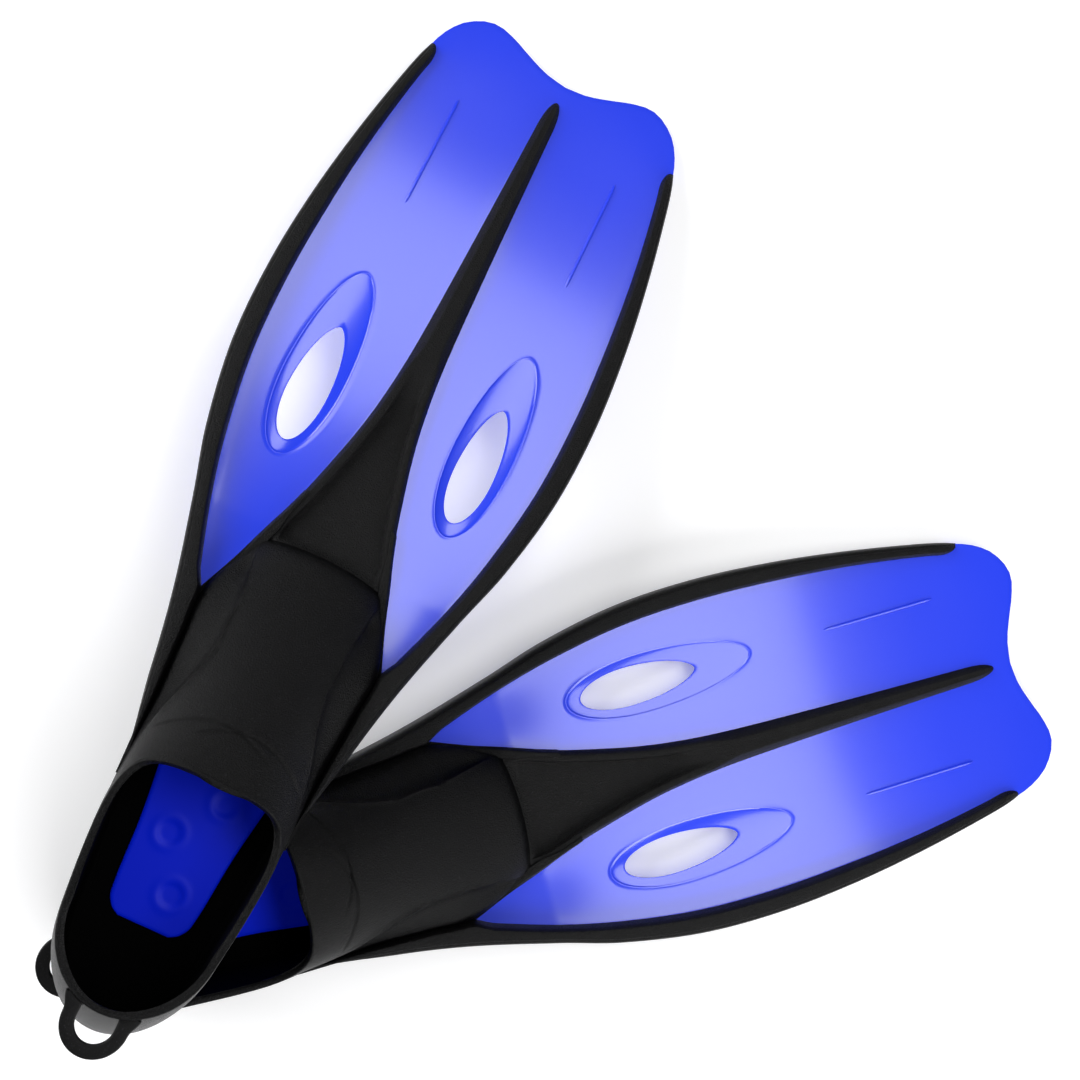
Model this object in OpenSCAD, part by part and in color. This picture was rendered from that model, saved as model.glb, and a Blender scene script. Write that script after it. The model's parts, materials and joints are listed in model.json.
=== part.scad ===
// A pair of full-foot swim fins, one lying flat and the other crossed over its heel.
// Each fin is drawn in its own frame: +X to the blade's tip, +Y to its left, sole on z = 0.
// The row's origin is the middle of the lower fin's heel pad, on the ground.

/* [Blade] */
// Half width over the side rails at the widest place
blade_half_w = 107; // [95:1:115]
// Thickness of the plastic blade
blade_t = 3; // [2:0.5:4]
// Slope of the blade, down towards its tip, in degrees
blade_slope = 1.5; // [1:0.25:2]
// Height of the rails above the blade
rail_rise = 10; // [7:0.5:12]

/* [Foot pocket] */
// Wall thickness of the rubber pocket
wall = 3.5; // [3:0.25:4.5]
// How far the heel's rim leans forward of its base
heel_lean = 18; // [10:1:20]
// Thickness of the outsole above its tread
sole_t = 3.5; // [3:0.5:4]
// Height of the tread bars
tread_h = 1.5; // [1:0.25:2]

/* [Motion] */
// Most that the blade bends up, in degrees
bend_up = 20; // [10:1:25]
// Most that the blade bends down, in degrees
bend_down = 15; // [5:1:20]

/* [How the pair lies] */
// Turn of the upper fin from the lower one, in degrees
cross_angle = 48.4; // [45:0.1:52]
// Slope of the upper fin, tip down, in degrees
rest_slope = 7.6; // [7.5:0.1:8.5]

/* [Hidden] */
$fn = 48;

BLACK = [0.1, 0.1, 0.1];
BLUE = [0.22, 0.3, 0.95];

heel_x = 40; // middle of the heel pad, which is the row's origin
hinge_x = 264; // where the blade starts to bend
tip_x = 606; // furthest reach of the blade's two lobes
tip_z = 6; // height of the blade's middle at its tip
hinge_z = tip_z + (tip_x - hinge_x) * tan(blade_slope);
sole_top = tread_h + sole_t;
footbed_t = 3;
edge_gap = 0.3; // side clearance of a part laid inside another
bend_gap = 0.5; // open gap at the bend line
half_t = blade_t / 2;
belly_z = 14; // height at which the pocket is widest

// ---- Curves ----------------------------------------------------------------

// Piece of the point list p that holds x
function piece(p, x, i = 0) = i >= len(p) - 2 || x < p[i + 1][0] ? i : piece(p, x, i + 1);

function rise(p, i) =
    let (a = max(i - 1, 0), b = min(i + 1, len(p) - 1))
    (p[b][1] - p[a][1]) / (p[b][0] - p[a][0]);

// Value at x of a smooth curve through the points [x, value]
function at(p, x) =
    let (i = piece(p, x), w = p[i + 1][0] - p[i][0], t = min(max((x - p[i][0]) / w, 0), 1))
    p[i][1] * (1 + 2 * t) * pow(1 - t, 2) + rise(p, i) * w * t * pow(1 - t, 2)
        + p[i + 1][1] * t * t * (3 - 2 * t) + rise(p, i + 1) * w * t * t * (t - 1);

// Seen from above, on the left of the middle line: rail's outer edge
OUTER = [[112, 50.5], [160, 58.5], [210, 69], [262, 83.5], [300, 95], [350, 104.5],
    [400, blade_half_w], [450, 104.5], [500, 98.5], [550, 90], [573, 85]];
// Where the blade comes out of the rail
PANEL_OUTER = [[215, 57], [262, 73], [300, 83], [350, 91.5], [400, 94], [450, 92.5],
    [500, 88.5], [550, 81.5], [573, 76.5]];
// Where the blade comes out of the toe web and the centre rib
PANEL_INNER = [[215, 57], [240, 47], [262, 39.5], [280, 33], [300, 27], [340, 17.5],
    [370, 13], [400, 10.5], [450, 8.5], [500, 7], [578, 5]];
// From the end of the rail round the lobe to the notch in the middle
LOBE = [[573, 84], [584, 80.5], [596, 73], [604, 62], [606, 52], [603, 40], [598, 28],
    [593, 14], [591, 0]];

// Point at t, counted in points, of a smooth curve through the points of p
function smooth_point(p, t) =
    let (
        i = min(floor(t), len(p) - 2), u = t - i, a = p[i], b = p[i + 1],
        ma = (b - p[max(i - 1, 0)]) / (i > 0 ? 2 : 1),
        mb = (p[min(i + 2, len(p) - 1)] - a) / (i < len(p) - 2 ? 2 : 1)
    )
    a * (1 + 2 * u) * pow(1 - u, 2) + ma * u * pow(1 - u, 2)
        + b * u * u * (3 - 2 * u) + mb * u * u * (u - 1);

function smooth_line(p, steps) = [for (k = [0 : steps * (len(p) - 1)]) smooth_point(p, k / steps)];

// Solid through equal rings of points, closed at both ends
module loft(rings) {
    n = len(rings[0]);
    m = len(rings);
    polyhedron(
        points = [for (r = rings) for (q = r) q],
        faces = concat(
            [[for (i = [0 : n - 1]) i]],
            [for (j = [0 : m - 2]) for (i = [0 : n - 1])
                [j * n + i, (j + 1) * n + i, (j + 1) * n + (i + 1) % n, j * n + (i + 1) % n]],
            [[for (i = [n - 1 : -1 : 0]) (m - 1) * n + i]]
        ),
        convexity = 6
    );
}

// Keeps a carved shell as one mesh: a size of zero leaves it as it is
module one_mesh() {
    resize([0, 0, 0]) children();
}

module mirrored(left) {
    mirror([0, left ? 0 : 1, 0]) children();
}

// ---- Foot pocket -----------------------------------------------------------

heel_back = -18; // furthest back of the heel, low down
heel_r = 58; // reach of the heel's round end
toe_end = 261;
SIDES = [[40, 43], [70, 46.5], [100, 49], [130, 50.5], [160, 52], [190, 54], [212, 55.5],
    [240, 47], [258, 38.5], [261, 36]];
TOPS = [[-18, 90], [60, 90], [90, 86], [105, 75], [127, 66], [150, 60], [180, 52],
    [210, 42.5], [240, 33.5], [252, 30.5], [258, 27.5], [261, 22]];
SQUARENESS = [[-18, 5], [60, 5], [100, 4], [127, 3], [160, 2.3], [261, 2.2]];
// The opening's edge in side view, from the heel to the instep
RIM = [[-40, 74], [0, 72], [25, 67], [50, 59.5], [75, 55.5], [95, 54], [110, 55], [121, 58.5],
    [127, 66], [128, 90]];
STATIONS = [-17.5, -15, -10, -3, 6, 18, 32, 48, 66, 84, 98, 110, 120, 127, 136, 150, 165, 180,
    195, 208, 220, 232, 244, 252, 257, 260, 261];

function side_at(x) =
    x < heel_x ? SIDES[0][1] * sqrt(max(0, 1 - pow((heel_x - x) / heel_r, 2))) : at(SIDES, x);

// Forward shift of the heel at height z
function lean(x, z) =
    heel_lean * pow(max(0, z - 22) / 50, 1.4) * max(0, 1 - (x - heel_back) / 75);

function pocket_point(x, y, z) = [x + lean(x, z), y, z];

// Ring of the pocket at station x, drawn in by d, standing on z = floor_z
function pocket_ring(x, d, floor_z) =
    let (
        xs = min(max(x, heel_back + 0.5), toe_end),
        w = max(side_at(xs) - d, 0.6), h = at(TOPS, xs) - d, e = 2 / at(SQUARENESS, xs),
        half = concat(
            [[max(w - 4, 0.3), floor_z], [max(w - 1.6, 0.4), floor_z + 3]],
            [for (t = [0 : 10 : 80]) [w * pow(cos(t), e), belly_z + (h - belly_z) * pow(sin(t), e)]]
        )
    )
    concat(
        [for (q = half) pocket_point(x, q[0], q[1])],
        [pocket_point(x, 0, h)],
        [for (i = [len(half) - 1 : -1 : 0]) pocket_point(x, -half[i][0], half[i][1])]
    );

module pocket_solid(d = 0, floor_z = sole_top) {
    squash = (toe_end - heel_back - 2 * d) / (toe_end - heel_back);
    loft([for (x = STATIONS)
        [for (q = pocket_ring(x, d, floor_z)) [heel_back + d + (q[0] - heel_back) * squash, q[1], q[2]]]]);
}

// Everything over the opening's edge, lowered by drop
module above_rim(drop = 0) {
    rotate([90, 0, 0]) linear_extrude(140, center = true)
        offset(delta = drop) polygon(concat(smooth_line(RIM, 4), [[128, 130], [-40, 130]]));
}

collar_h = 5;

module pocket_upper() {
    color(BLACK) one_mesh() difference() {
        pocket_solid();
        pocket_solid(wall, sole_top - 4);
        above_rim(collar_h);
    }
}

// Bead round the opening, a little thicker than the wall under it
module collar() {
    color(BLACK) one_mesh() difference() {
        intersection() {
            pocket_solid(-0.8);
            above_rim(collar_h);
        }
        pocket_solid(wall + 0.4, sole_top - 4);
        above_rim();
    }
}

function sole_outline(inset, x0, x1) =
    let (xs = [for (k = [0 : 36]) x0 + (x1 - x0) * (1 - cos(k * 5)) / 2])
    concat(
        [for (x = xs) [x, max(side_at(x) - 4 - inset, 0.5)]],
        [for (k = [36 : -1 : 0]) [xs[k], -max(side_at(xs[k]) - 4 - inset, 0.5)]]
    );

module outsole() {
    color(BLACK) translate([0, 0, tread_h]) linear_extrude(sole_t)
        polygon(sole_outline(0, heel_back + 1, 260));
}

tread_pitch = 12;
bar_w = 6;
pad_r = 15; // round pads under the heel and the ball of the foot
ball_x = 190;

// Bars across a middle spine, inside a band that follows the sole's edge
module tread() {
    color(BLACK) linear_extrude(tread_h) {
        difference() {
            polygon(sole_outline(1, heel_back + 5, 256));
            polygon(sole_outline(5, heel_back + 9, 252));
        }
        intersection() {
            polygon(sole_outline(4, heel_back + 8, 253));
            union() {
                for (k = [0 : 22]) translate([tread_pitch * k - 8, 0])
                    square([bar_w, 120], center = true);
                translate([heel_back, -bar_w / 2]) square([275, bar_w]);
            }
        }
        for (x = [heel_x, ball_x]) translate([x, 0]) circle(pad_r);
    }
}

FOOTBED = [[38, 15], [41, 20], [48, 24], [90, 28], [125, 33], [170, 40], [210, 43], [235, 36],
    [250, 30]];
DIMPLES = [[59, -6], [89, 10], [115, -11], [145, 10], [175, -11]];

module footbed() {
    edge = [for (x = [38 : 4 : 250]) [x, at(FOOTBED, x)]];
    color(BLUE) translate([0, 0, sole_top]) difference() {
        linear_extrude(footbed_t)
            polygon(concat(edge, [for (i = [len(edge) - 1 : -1 : 0]) [edge[i][0], -edge[i][1]]]));
        for (q = DIMPLES) translate([q[0], q[1], footbed_t - 0.8]) cylinder(r = 8, h = 2);
    }
}

// Where the opening in the sides of the pocket lets the blade out beside the toes
ROOT_X = [for (x = [217 : 6 : 259]) x];

module root_panels() {
    near = [for (x = concat(ROOT_X, [hinge_x])) [x, at(PANEL_INNER, x) + edge_gap]];
    far = [for (x = concat(ROOT_X, [hinge_x])) [x, at(PANEL_OUTER, x)]];
    color(BLUE) for (left = [true, false]) mirrored(left)
        translate([0, 0, hinge_z - half_t + 0.6]) linear_extrude(blade_t)
            polygon(concat(near, [for (i = [len(far) - 1 : -1 : 0]) far[i]]));
}

STRAKE_TOP = [[112, 42], [140, 35], [180, 29], [220, 26.5], [264, 25]];

// Side strake that carries the rail back along the pocket
module strake(left) {
    xs = [112, 120, 130, 142, 155, 168, 181, 194, 205, 215, 223, 232, 241, 250, 258, hinge_x];
    color(BLACK) one_mesh() mirrored(left) difference() {
        loft([for (x = xs)
            let (
                out = at(OUTER, x),
                in = x < 215 ? side_at(x) - 6 : at(PANEL_OUTER, x),
                top = at(STRAKE_TOP, x), low = x < 215 ? 9 : 4
            )
            [[x, in, low], [x, out - 2, low], [x, out, low + 3], [x, out, top - 4],
                [x, out - 2, top], [x, min(in + 4, out - 2.5), top], [x, in, top - 5]]]);
        pocket_solid();
    }
}

// ---- Blade, drawn from the bend line along its own slope --------------------

// Moves a piece of the blade from its own frame to the fin's
module along_blade() {
    translate([hinge_x, 0, hinge_z]) rotate([0, blade_slope, 0]) translate([-hinge_x, 0, 0])
        children();
}

// Keeps the bend line's ends clear of the pocket at full bend
function clear_x(x, z) =
    max(x, hinge_x + bend_gap + abs(z) * tan((z > 0 ? bend_up : bend_down) + 1.5));

BLADE_X = [for (x = [hinge_x + 1.2, 270, 280, 290, 300, 312, 325, 340, 355, 370, 385, 400,
    415, 430, 450, 470, 490, 510, 530, 550, 565]) x];
RAIL_END = 573;
RIB_END = 578;

// Egg shape from x0 to x1, with its narrower end in front
module vent_outline(x0, x1, w_in, w_out) {
    mid = x0 + (x1 - x0) * 0.42;
    function side(a, w) =
        a > 90 ? [mid + (mid - x0) * cos(a), w * sin(a)]
            : [mid + (x1 - mid) * cos(a), w * pow(sin(a), 1.2)];
    polygon(concat(
        [for (a = [0 : 7.5 : 180]) side(a, w_out)],
        [for (a = [172.5 : -7.5 : 7.5]) let (q = side(a, w_in)) [q[0], -q[1]]]
    ));
}

vent_y = 54;

module blade() {
    panel = concat(
        [for (x = BLADE_X) [x, at(PANEL_OUTER, x)]],
        [[RAIL_END, at(PANEL_OUTER, RAIL_END)], [RAIL_END + 0.5, 77]],
        smooth_line(LOBE, 3),
        [[RIB_END + edge_gap, 0], [RIB_END + edge_gap, 5]],
        [for (i = [len(BLADE_X) - 1 : -1 : 0]) [BLADE_X[i], at(PANEL_INNER, BLADE_X[i])]]
    );
    color(BLUE) along_blade() difference() {
        union() {
            for (left = [true, false]) mirrored(left)
                translate([0, 0, -half_t]) linear_extrude(blade_t) polygon(panel);
            for (s = [-1, 1]) translate([474, s * vent_y - 1, half_t - 0.1]) cube([77, 2, 1.6]);
        }
        for (s = [-1, 1]) translate([0, s * vent_y, 0]) {
            translate([0, 0, -5]) linear_extrude(10) vent_outline(314, 389, 12, 12);
            translate([0, 0, half_t - 1.2]) linear_extrude(5) vent_outline(305, 424, 17.5, 18);
        }
    }
}

RISE = [[264, 10], [300, 10.5], [400, 10], [500, 8], [573, 5.5]];
DEPTH = [[264, 9.5], [300, 9], [400, 8], [500, 6], [573, 4.5]];

module rail(left) {
    xs = concat([hinge_x], [for (i = [1 : len(BLADE_X) - 1]) BLADE_X[i]], [RAIL_END]);
    color(BLACK) along_blade() mirrored(left)
        loft([for (x = xs)
            let (
                in = at(PANEL_OUTER, max(x, BLADE_X[0])), out = at(OUTER, x),
                up = at(RISE, x) * rail_rise / 10, low = -at(DEPTH, x)
            )
            [for (q = [[in, half_t], [in, -half_t], [in + 2, low + 1], [in + 4, low], [out - 3, low],
                [out - 0.5, low + 3], [out, 0], [out - 0.5, up - 3], [out - 2.5, up],
                [in + 4, up], [in + 2.4, up - 2]])
                [clear_x(x, q[1]), q[0], q[1]]]]);
}

rib_from = 396;
WEB_X = [264, 270, 276, 282, 290, 300, 312, 325, 340, 355, 370, 385, 396];
RIB_X = [396, 415, 430, 450, 470, 490, 510, 530, 550, 565, 574, RIB_END];

// Black triangle between the two panels, hollowed between its raised rims
module toe_web() {
    color(BLACK) one_mesh() along_blade() loft([for (x = WEB_X)
        let (
            e = at(PANEL_INNER, max(x, BLADE_X[0])), k = (rib_from - x) / (rib_from - hinge_x),
            rim = 5 + 2 * (1 - k), pit = rim - 4 * min(1, k * 4), foot = -4.5,
            half = [[3, foot], [e - 3, foot], [e, -half_t], [e, half_t], [e - 2.5, rim],
                [max(e - 6, 3.2), rim], [max(e - 8.5, 2.5), pit]]
        )
        concat(
            [for (i = [len(half) - 1 : -1 : 0]) [clear_x(x, half[i][1]), half[i][0], half[i][1]]],
            [for (q = half) [clear_x(x, q[1]), -q[0], q[1]]]
        )]);
}

module centre_rib() {
    color(BLACK) one_mesh() along_blade() loft([for (x = RIB_X)
        let (
            e = at(PANEL_INNER, x), rim = 7 - 2.5 * (x - rib_from) / 182, foot = -4.5,
            top = max(e - 6, 3.2) - (x - rib_from) / 182,
            half = [[2.5, foot], [max(e - 3, 2.8), foot], [e, -half_t], [e, half_t],
                [(e + top) / 2 + 0.3, rim - 0.8], [top, rim], [2, rim]]
        )
        concat(
            [for (i = [len(half) - 1 : -1 : 0]) [x, half[i][0], half[i][1]]],
            [for (q = half) [x, -q[0], q[1]]]
        )]);
}

// ---- Pull loop ---------------------------------------------------------------

loop_z = 68.2; // underside of the loop
loop_t = 3.5;
loop_x = -5; // the loop bends about this line
loop_out = 17.5;
loop_in = 10;

module half_ring(x0, x1) {
    translate([0, 0, loop_z]) linear_extrude(loop_t) intersection() {
        difference() {
            translate([loop_x, 0]) circle(loop_out);
            translate([loop_x, 0]) circle(loop_in);
        }
        translate([x0, -30]) square([x1 - x0, 60]);
    }
}

loop_fold = 63; // the notch lets the loop fold up this far, in degrees
loop_drop = 13; // and down this far

// Wedge-shaped gap at the loop's bend line
module bend_notch() {
    reach = 4;
    up = reach * tan(loop_fold / 2);
    down = reach * tan(loop_drop / 2);
    gap = bend_gap / 2;
    translate([loop_x, 0, loop_z + loop_t / 2]) rotate([90, 0, 0])
        linear_extrude(50, center = true) polygon([[-gap, 0], [-gap - up, reach],
            [gap + up, reach], [gap, 0], [gap + down, -reach], [-gap - down, -reach]]);
}

module pull_loop() {
    color(BLACK) difference() {
        half_ring(-40, loop_x);
        bend_notch();
    }
}

// The two stubs on the heel that the loop grows out of
module loop_anchors() {
    color(BLACK) one_mesh() difference() {
        translate([0, 0, loop_z]) linear_extrude(loop_t)
            for (s = [-1, 1]) translate([loop_x, s > 0 ? loop_in : -loop_out])
                square([20, loop_out - loop_in]);
        bend_notch();
        pocket_solid();
        pocket_solid(-0.8);
    }
}

// ---- The pair ------------------------------------------------------------------

cross_x = 14; // the upper fin's frame, in the lower fin's
cross_y = -18;
cross_z = (tip_x - 2) * sin(rest_slope) - (tip_z - half_t - 0.3) * cos(rest_slope);

module place(fin) {
    translate([-heel_x, 0, 0])
        if (fin == "upper") translate([cross_x, cross_y, cross_z])
            rotate([0, rest_slope, cross_angle]) children();
        else children();
}

for (fin = ["lower", "upper"]) {
    place(fin) outsole();
    place(fin) tread();
    place(fin) footbed();
    place(fin) pocket_upper();
    place(fin) collar();
    place(fin) root_panels();
    place(fin) strake(true);
    place(fin) strake(false);
    place(fin) loop_anchors();
    place(fin) blade();
    place(fin) toe_web();
    place(fin) centre_rib();
    place(fin) rail(true);
    place(fin) rail(false);
    place(fin) pull_loop();
}
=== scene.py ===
import json
import math

import bmesh
import bpy
import numpy as np
from mathutils import Matrix, Vector


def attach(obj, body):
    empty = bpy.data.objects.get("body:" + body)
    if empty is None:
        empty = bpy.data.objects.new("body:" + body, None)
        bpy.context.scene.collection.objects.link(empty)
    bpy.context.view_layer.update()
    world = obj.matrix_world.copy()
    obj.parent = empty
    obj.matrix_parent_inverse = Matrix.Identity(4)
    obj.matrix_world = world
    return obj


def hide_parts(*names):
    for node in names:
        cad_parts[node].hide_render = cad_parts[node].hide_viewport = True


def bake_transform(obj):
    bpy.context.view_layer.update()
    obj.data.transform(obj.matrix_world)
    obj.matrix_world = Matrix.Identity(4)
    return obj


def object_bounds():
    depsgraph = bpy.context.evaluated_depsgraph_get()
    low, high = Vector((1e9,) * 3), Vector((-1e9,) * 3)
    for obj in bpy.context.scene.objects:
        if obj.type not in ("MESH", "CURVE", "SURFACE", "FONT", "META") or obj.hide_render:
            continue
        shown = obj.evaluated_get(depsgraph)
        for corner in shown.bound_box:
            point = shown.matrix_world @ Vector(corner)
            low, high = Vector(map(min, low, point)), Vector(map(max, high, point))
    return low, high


bl_info = {
    "name": "Swim fins",
    "version": (1, 0, 0),
    "blender": (4, 5, 0),
    "location": "3D View > Sidebar > Swim fins",
    "description": "Builds the look of a pair of full-foot swim fins over their CAD frame",
    "category": "Object",
}

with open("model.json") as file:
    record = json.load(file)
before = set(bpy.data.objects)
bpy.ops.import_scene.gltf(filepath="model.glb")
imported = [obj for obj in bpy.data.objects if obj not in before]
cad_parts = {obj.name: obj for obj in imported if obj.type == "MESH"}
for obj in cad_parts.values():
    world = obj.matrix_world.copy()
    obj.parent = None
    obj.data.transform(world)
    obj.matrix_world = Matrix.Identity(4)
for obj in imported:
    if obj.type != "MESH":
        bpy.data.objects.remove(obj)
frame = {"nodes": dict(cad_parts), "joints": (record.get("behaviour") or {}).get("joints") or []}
CAD_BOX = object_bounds()

MM = 0.001
FINS = ("lower", "upper")
JOINTS = {j["name"]: j for j in frame["joints"]}


# ---- Where each fin lies ----
# A fin is drawn in its own frame in millimetres: x from the heel to the tip,
# y to the left, z up from under the sole. The pair's frame is the CAD model's.

HINGE = np.array([264.0, 0.0, 14.956])  # bend line of the blade
CROSS_YAW = 48.4  # degrees from the lower fin to the upper one, seen from above
CROSS_PITCH = 7.6  # degrees the upper fin leans down to its tip
LOOP_LINE = np.array([-5.0, 0.0, 69.95])  # bend line of the pull loop


def joint_place(name):
    """A joint's place in the pair's frame, in millimetres."""
    return np.array(JOINTS[name]["pos_m"], dtype=float) / MM


def fin_matrix(fin):
    """Turn and shift from a fin's own frame to the pair's, in millimetres."""
    if fin == "lower":
        turn = np.eye(3)
    else:
        a, b = math.radians(CROSS_YAW), math.radians(CROSS_PITCH)
        yaw = np.array([[math.cos(a), -math.sin(a), 0], [math.sin(a), math.cos(a), 0], [0, 0, 1]])
        pitch = np.array([[math.cos(b), 0, math.sin(b)], [0, 1, 0], [-math.sin(b), 0, math.cos(b)]])
        turn = yaw @ pitch
    return turn, joint_place(fin + "_blade_flex") - turn @ HINGE


def to_pair(fin, points):
    """Points of one fin in the pair's frame, in metres."""
    turn, shift = fin_matrix(fin)
    return (np.asarray(points, dtype=float) @ turn.T + shift) * MM


# ---- Curves of the fin ----
# Each pair is a place along the fin and half a width, or a height, there.

# The blade in plan: outside of a rail, both edges of a panel, half the tip
OUTER = [(112, 50.5), (160, 58.5), (210, 69), (262, 83.5), (300, 95), (350, 104.5),
         (400, 107), (450, 104.5), (500, 98.5), (550, 90), (573, 85)]
PANEL_OUTER = [(215, 57), (262, 73), (300, 83), (350, 91.5), (400, 94), (450, 92.5),
               (500, 88.5), (550, 81.5), (573, 76.5)]
PANEL_INNER = [(215, 57), (240, 47), (262, 39.5), (280, 33), (300, 27), (340, 17.5),
               (370, 13), (400, 10.5), (450, 8.5), (500, 7), (578, 5)]
LOBE = [(573, 84), (584, 80.5), (596, 73), (604, 62), (606, 52), (603, 40), (598, 28),
        (593, 14), (591, 0)]
# The foot pocket's half width, arch height, squareness and opening edge
SIDES = [(40, 43), (70, 46.5), (100, 49), (130, 50.5), (160, 52), (190, 54), (212, 55.5),
         (240, 47), (258, 38.5), (261, 36)]
TOPS = [(-18, 90), (60, 90), (90, 86), (105, 75), (127, 66), (150, 60), (180, 52),
        (210, 42.5), (240, 33.5), (252, 30.5), (258, 27.5), (261, 22)]
SQUARENESS = [(-18, 5), (60, 5), (100, 4), (127, 3), (160, 2.3), (261, 2.2)]
RIM = [(-40, 74), (0, 72), (25, 67), (50, 59.5), (75, 55.5), (95, 54), (110, 55),
       (121, 58.5), (127, 66)]
# The strakes' top and foot, and the rails' height over and under the blade
STRAKE_TOP = [(112, 42), (140, 35), (180, 29), (220, 26.5), (264, 25)]
STRAKE_FOOT = [(112, 14), (150, 9), (215, 5.5), (264, 5.5)]
RISE = [(264, 10), (300, 10.5), (400, 10), (500, 8), (573, 5.5)]
DEPTH = [(264, 9.5), (300, 9), (400, 8), (500, 6), (573, 4.5)]
# Line along each side of the instep, half the footbed, middles of its dimples
CREASE = [(127, 47), (142, 44.5), (157, 40.5), (172, 36), (187, 32.8), (202, 31.5), (217, 32.3),
          (235, 35), (261, 38)]
FOOTBED = [(38, 15), (41, 20), (48, 24), (90, 28), (125, 33), (170, 40), (210, 43)]
DIMPLES = [(59, -6), (89, 10), (115, -11), (145, 10)]

HALF_T = 1.5  # half the blade's thickness
SLOPE = math.radians(1.5)  # the blade's lean down to its tip
HEEL_BACK = -18.0
HEEL_X, HEEL_R = 40.0, 58.0  # middle and radius of the heel's round
BELLY_Z = 14.0  # height at which the pocket is widest
SOLE_TOP = 5.0
WALL = 3.5  # thickness of the pocket's wall
OPENING_X = 127.0  # front of the opening
TOE_END = 261.0
STRAKE_BACK = 112.0  # where the curves of the strakes begin
PANEL_BACK = 215.0  # rear points of the panels
VENT_BACK, VENT_FRONT = 290.0, 440.0  # stretch of a panel that holds its vent
RAIL_TIP = 573.0
RIB_TIP = 578.0
NOTCH_X = 591.0  # middle of the scalloped tip
MIRROR = np.array([1, -1, 1])  # to the other side of the fin


def curve(points, x):
    """Value at x of a smooth curve through the points; x may be an array."""
    p = np.asarray(points, dtype=float)
    px, py = p[:, 0], p[:, 1]
    rise = np.empty(len(p))
    rise[1:-1] = (py[2:] - py[:-2]) / (px[2:] - px[:-2])
    rise[0] = (py[1] - py[0]) / (px[1] - px[0])
    rise[-1] = (py[-1] - py[-2]) / (px[-1] - px[-2])
    x = np.asarray(x, dtype=float)
    i = np.clip(np.searchsorted(px, x, side="right") - 1, 0, len(p) - 2)
    w = px[i + 1] - px[i]
    t = np.clip((x - px[i]) / w, 0, 1)
    return (py[i] * (1 + 2 * t) * (1 - t) ** 2 + rise[i] * w * t * (1 - t) ** 2
            + py[i + 1] * t * t * (3 - 2 * t) + rise[i + 1] * w * t * t * (t - 1))


def path(points, t):
    """Points of a smooth line through the given points; t runs from 0 to 1."""
    p = np.asarray(points, dtype=float)
    n = np.arange(len(p))
    step = np.concatenate([[0], np.cumsum(np.linalg.norm(np.diff(p, axis=0), axis=1))])
    at = np.interp(np.asarray(t, dtype=float) * step[-1], step, n)
    return np.stack([curve(np.stack([n, p[:, k]], 1), at) for k in range(p.shape[1])], -1)


def smooth(a, b, x):
    """Rises from 0 at a to 1 at b with level ends."""
    t = np.clip((np.asarray(x, dtype=float) - a) / (b - a), 0, 1)
    return t * t * (3 - 2 * t)


def side_at(x):
    """Half the pocket's width at x, with the heel's round."""
    x = np.asarray(x, dtype=float)
    heel = SIDES[0][1] * np.sqrt(np.clip(1 - ((HEEL_X - x) / HEEL_R) ** 2, 0, 1))
    return np.where(x < HEEL_X, heel, curve(SIDES, x))


def on_blade(x, y, z):
    """A point of the blade, z above its middle plane, in the fin's frame."""
    x, y, z = np.broadcast_arrays(*(np.asarray(v, dtype=float) for v in (x, y, z)))
    run = np.maximum(x - HINGE[0], 0)
    lean = np.where(run > 0, 1.0, 0.0)
    return np.stack([x - run * (1 - math.cos(SLOPE)) + lean * z * math.sin(SLOPE), y,
                     HINGE[2] - run * math.sin(SLOPE) + z], -1)


# ---- Meshes ----

class Shape:
    """Collects points and faces of one piece, in the fin's own millimetres."""

    def __init__(self):
        self.points = []
        self.faces = []
        self.count = 0

    def add(self, points):
        points = np.asarray(points, dtype=float)
        points = points.reshape(-1, points.shape[-1])
        self.points.append(points)
        self.count += len(points)
        return self.count - len(points)

    def grid(self, rows, closed=False, ends=False):
        """Skin over rows of points; closed joins the ends of each row."""
        rows = np.asarray(rows, dtype=float)
        m, n = rows.shape[:2]
        start = self.add(rows)
        last = n if closed else n - 1
        for j in range(m - 1):
            for i in range(last):
                a, b = start + j * n, start + (j + 1) * n
                self.faces.append((a + i, b + i, b + (i + 1) % n, a + (i + 1) % n))
        if ends:
            self.faces.append(tuple(start + i for i in range(n)))
            self.faces.append(tuple(start + (m - 1) * n + i for i in range(n - 1, -1, -1)))

    def mirrored(self):
        """Adds the piece's mirror image on the other side of the fin."""
        pts = np.concatenate(self.points)
        n = len(pts)
        self.points = [pts, pts * MIRROR]
        self.faces += [tuple(n + i for i in reversed(f)) for f in self.faces]
        self.count = 2 * n


WELD = 0.004  # points closer than this become one


def set_mesh(obj, bm):
    """Writes the edited mesh to the object and lets go of it."""
    bm.to_mesh(obj.data)
    bm.free()


def make_piece(name, fin, shape, material, sharp):
    """One object from a shape; edges that turn by more than sharp degrees stay crisp."""
    pts = to_pair(fin, np.concatenate(shape.points))
    mesh = bpy.data.meshes.new(name)
    mesh.from_pydata(pts.tolist(), [], shape.faces)
    obj = bpy.data.objects.new(name, mesh)
    bpy.context.scene.collection.objects.link(obj)
    bm = bmesh.new()
    bm.from_mesh(mesh)
    bmesh.ops.remove_doubles(bm, verts=bm.verts, dist=WELD * MM)
    bmesh.ops.dissolve_degenerate(bm, edges=bm.edges, dist=WELD * MM)
    bmesh.ops.recalc_face_normals(bm, faces=bm.faces)
    set_mesh(obj, bm)
    mesh.shade_smooth()
    mesh.set_sharp_from_angle(angle=math.radians(sharp))
    mesh.materials.append(material)
    return obj


def bend_with_blade(obj):
    """Bakes the piece's placing into its points; the lean where the blade leaves the foot pocket is
    already drawn into them.
    """
    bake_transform(obj)


# ---- Blade ----

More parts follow.
